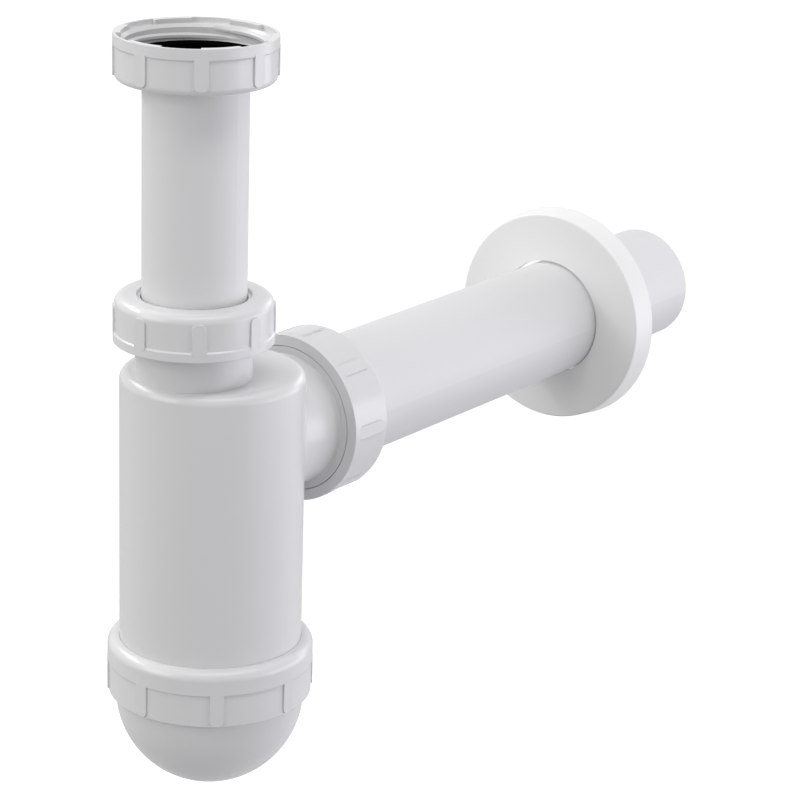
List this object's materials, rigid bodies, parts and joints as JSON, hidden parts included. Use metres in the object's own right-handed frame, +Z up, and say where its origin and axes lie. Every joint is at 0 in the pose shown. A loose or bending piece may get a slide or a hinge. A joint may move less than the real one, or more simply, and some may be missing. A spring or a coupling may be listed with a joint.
{
  "type": "bottle trap",
  "caption": "White plastic bottle trap: flanged inlet tube with union nut, round bottle with screw-off cup, and a side outlet pipe with a sliding wall rosette.",
  "frame": {"origin": "inlet axis at the top face of the flat inlet gasket, where the basin waste seats", "axes": "+Z up along the inlet, +Y out along the outlet pipe to the wall, +X across"},
  "size_m": [0.0766, 0.2836, 0.2423],
  "materials": {
    "white_plastic": "satin moulded polypropylene",
    "rosette_plastic": "smooth moulded plastic",
    "washer_plastic": "matt moulded plastic",
    "black_rubber": "matt rubber"
  },
  "bodies": {
    "inlet": {"inlet_tube": "white_plastic", "inlet_gasket": "black_rubber"},
    "top_nut": {"top_nut": "white_plastic"},
    "neck_seal": {"neck_seal": "black_rubber"},
    "bottle": {"bottle_body": "white_plastic"},
    "neck_washer": {"neck_washer": "washer_plastic"},
    "neck_nut": {"neck_nut": "white_plastic"},
    "outlet_washer": {"outlet_washer": "washer_plastic"},
    "outlet_nut": {"outlet_nut": "white_plastic"},
    "outlet_seal": {"outlet_seal": "black_rubber"},
    "outlet_pipe": {"outlet_pipe": "white_plastic"},
    "wall_rosette": {"wall_rosette": "rosette_plastic"},
    "cup_gasket": {"cup_gasket": "black_rubber"},
    "bottle_cup": {"bottle_cup": "white_plastic"}
  },
  "joints": [
    {"name": "top_nut_spin", "type": "hinge", "parent": "inlet", "child": "top_nut", "pos_m": [0, 0, 0], "axis": [0, 0, 1], "continuous": true},
    {"name": "inlet_height", "type": "slide", "parent": "inlet", "child": "neck_seal", "axis": [0, 0, 1], "range_m": [-0.03, 0.015]},
    {"name": "bottle_swivel", "type": "hinge", "parent": "neck_seal", "child": "bottle", "pos_m": [0, 0, -0.09], "axis": [0, 0, 1], "continuous": true},
    {"name": "neck_washer_lift", "type": "slide", "parent": "bottle", "child": "neck_washer", "axis": [0, 0, 1], "range_m": [0, 0.0093]},
    {"name": "neck_nut_turn", "type": "hinge", "parent": "neck_washer", "child": "neck_nut", "pos_m": [0, 0, -0.08], "axis": [0, 0, 1], "range_deg": [0, 1440]},
    {"name": "outlet_washer_shift", "type": "slide", "parent": "bottle", "child": "outlet_washer", "axis": [0, 1, 0], "range_m": [0, 0.0116]},
    {"name": "outlet_nut_turn", "type": "hinge", "parent": "outlet_washer", "child": "outlet_nut", "pos_m": [0, 0.055, -0.125], "axis": [0, 1, 0], "range_deg": [0, 1800]},
    {"name": "outlet_spin", "type": "hinge", "parent": "bottle", "child": "outlet_seal", "pos_m": [0, 0.055, -0.125], "axis": [0, 1, 0], "continuous": true},
    {"name": "outlet_reach", "type": "slide", "parent": "outlet_seal", "child": "outlet_pipe", "axis": [0, 1, 0], "range_m": [-0.0008, 0.006]},
    {"name": "rosette_slide", "type": "slide", "parent": "outlet_pipe", "child": "wall_rosette", "axis": [0, 1, 0], "range_m": [-0.1, 0.04]},
    {"name": "cup_gasket_drop", "type": "slide", "parent": "bottle", "child": "cup_gasket", "axis": [0, 0, -1], "range_m": [0, 0.0136]},
    {"name": "cup_turn", "type": "hinge", "parent": "cup_gasket", "child": "bottle_cup", "pos_m": [0, 0.0091, -0.2], "axis": [0, 0, -1], "range_deg": [0, 1620]}
  ],
  "couplings": [
    {"joint": "neck_washer_lift", "follows": "neck_nut_turn", "m_per_rad": 0.00036749},
    {"joint": "outlet_washer_shift", "follows": "outlet_nut_turn", "m_per_rad": 0.00036749},
    {"joint": "cup_gasket_drop", "follows": "cup_turn", "m_per_rad": 0.00047746}
  ]
}
